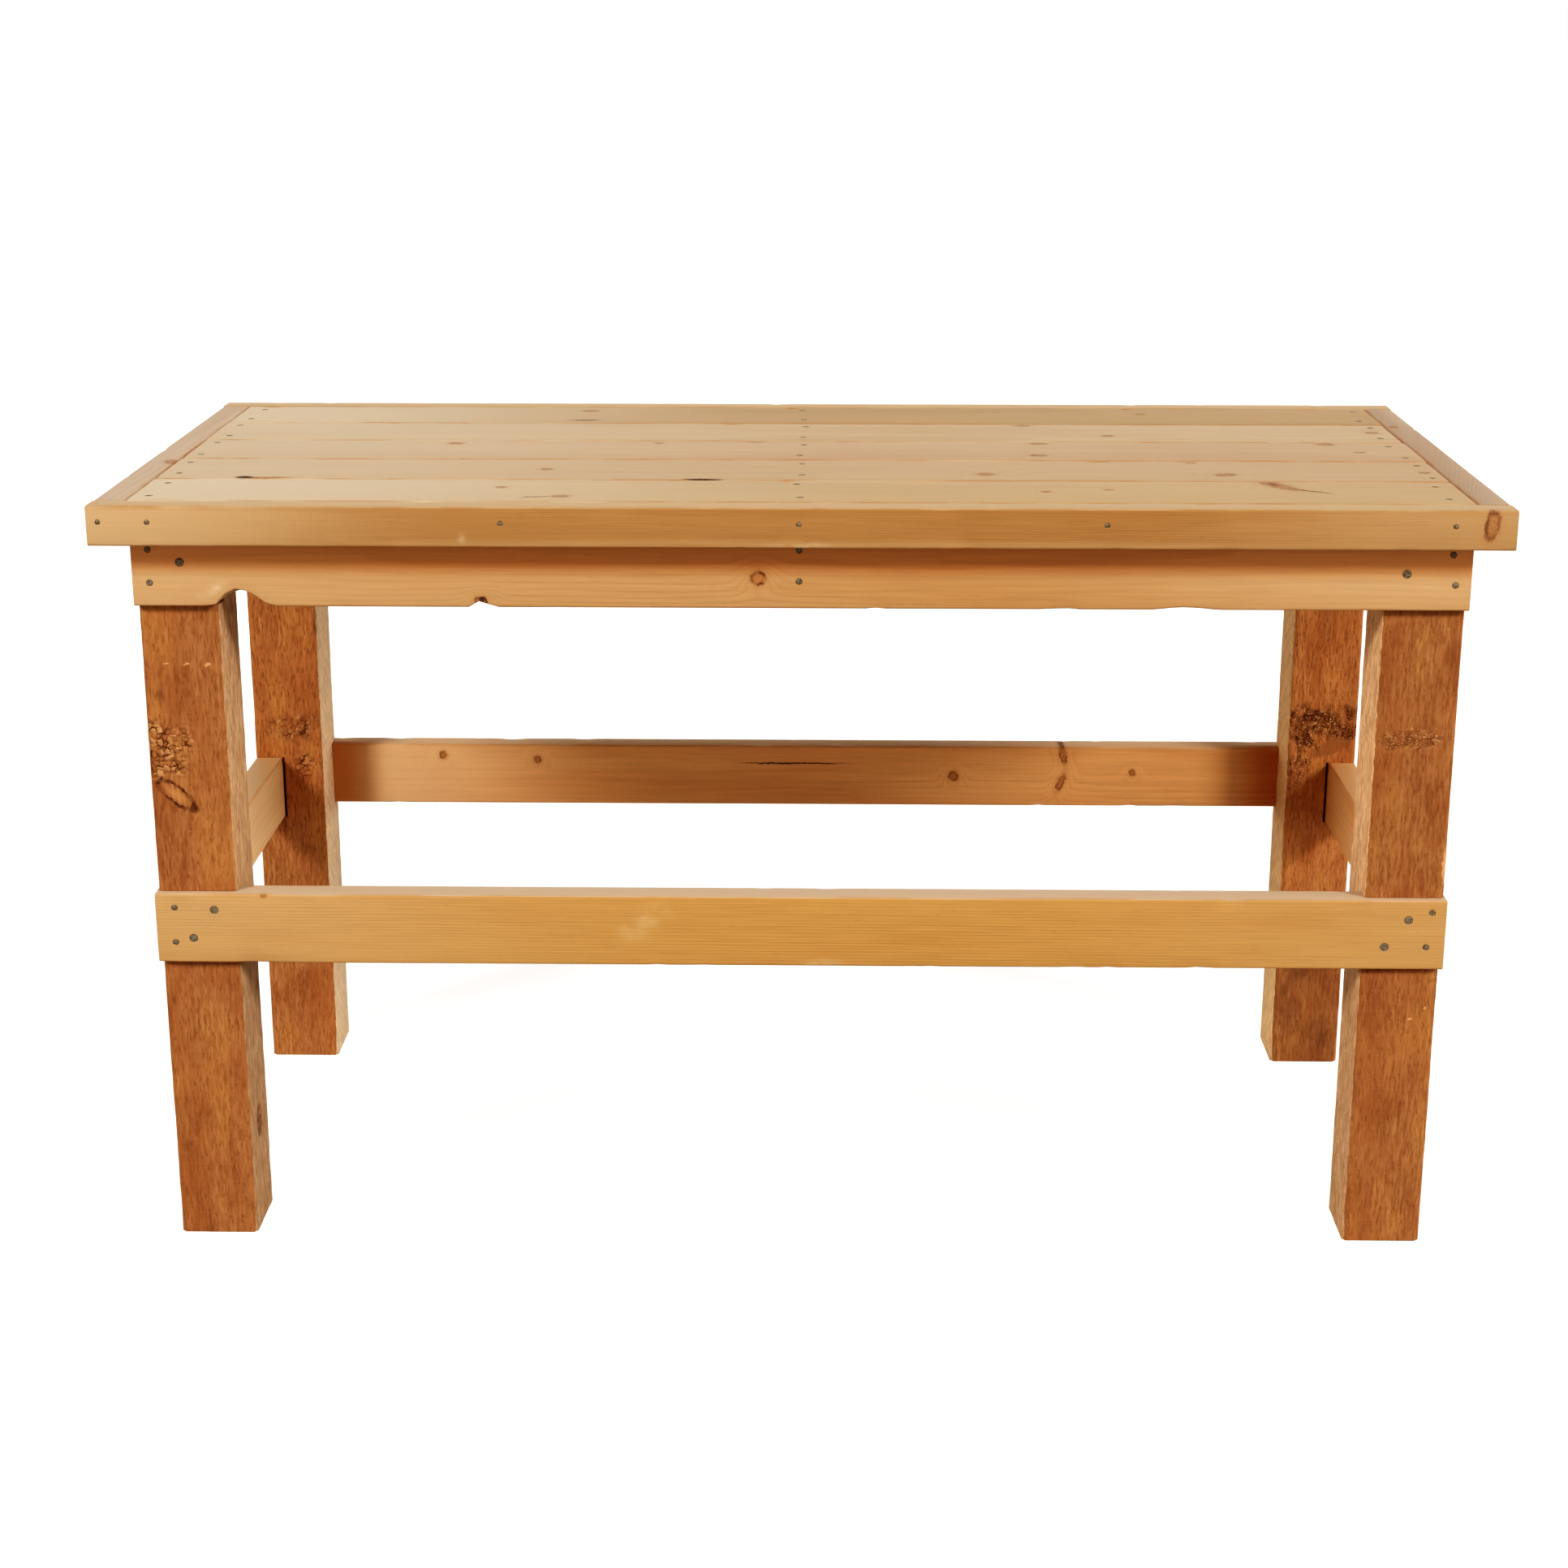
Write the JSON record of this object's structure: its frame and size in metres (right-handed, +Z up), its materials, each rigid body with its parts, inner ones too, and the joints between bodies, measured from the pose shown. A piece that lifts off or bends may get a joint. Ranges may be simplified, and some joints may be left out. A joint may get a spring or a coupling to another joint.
{
  "type": "wooden work table",
  "caption": "Free-standing nailed softwood work table: plank top with an edge trim, aprons, rough-sawn posts and low stretchers all round, for standing work.",
  "frame": {"origin": "on the floor under the middle of the top", "axes": "+X along the table, +Y from its front (the nailed apron with the wane scoop) to its rear, +Z up"},
  "size_m": [1.6486, 0.7826, 0.944],
  "materials": {
    "plank": "planed pale pine, bare, with small knots",
    "trim": "planed pine, bare, aged to honey brown",
    "apron": "planed pine, bare, light orange",
    "stretcher": "planed fir, bare, golden straight grain",
    "hidden_frame": "planed pine, bare",
    "post": "rough-sawn, bare, orange brown with torn knots",
    "nail": "dull grey steel"
  },
  "bodies": {
    "root": {"plank_1": "plank", "plank_2": "plank", "plank_3": "plank", "plank_4": "plank", "plank_5": "plank", "trim_front": "trim", "trim_rear": "trim", "trim_left": "trim", "trim_right": "trim", "apron_front": "apron", "apron_rear": "apron", "stretcher_front": "stretcher", "stretcher_rear": "stretcher", "stretcher_left": "stretcher", "stretcher_right": "stretcher", "end_rail_left": "hidden_frame", "end_rail_right": "hidden_frame", "joist_middle": "hidden_frame", "post_front_left": "post", "post_front_right": "post", "post_rear_left": "post", "post_rear_right": "post", "apron_front_nail_1": "nail", "apron_front_nail_2": "nail", "apron_front_nail_3": "nail", "apron_front_nail_4": "nail", "apron_front_nail_5": "nail", "apron_front_nail_6": "nail", "apron_front_nail_7": "nail", "apron_front_nail_8": "nail", "apron_rear_nail_1": "nail", "apron_rear_nail_2": "nail", "apron_rear_nail_3": "nail", "apron_rear_nail_4": "nail", "apron_rear_nail_5": "nail", "apron_rear_nail_6": "nail", "apron_rear_nail_7": "nail", "apron_rear_nail_8": "nail", "stretcher_front_nail_1": "nail", "stretcher_front_nail_2": "nail", "stretcher_front_nail_3": "nail", "stretcher_front_nail_4": "nail", "stretcher_front_nail_5": "nail", "stretcher_front_nail_6": "nail", "stretcher_front_nail_7": "nail", "stretcher_front_nail_8": "nail", "stretcher_rear_nail_1": "nail", "stretcher_rear_nail_2": "nail", "stretcher_rear_nail_3": "nail", "stretcher_rear_nail_4": "nail", "stretcher_rear_nail_5": "nail", "stretcher_rear_nail_6": "nail", "stretcher_rear_nail_7": "nail", "stretcher_rear_nail_8": "nail", "trim_front_nail_1": "nail", "trim_front_nail_2": "nail", "trim_front_nail_3": "nail", "trim_front_nail_4": "nail", "trim_front_nail_5": "nail", "trim_front_nail_6": "nail"}
  },
  "joints": []
}
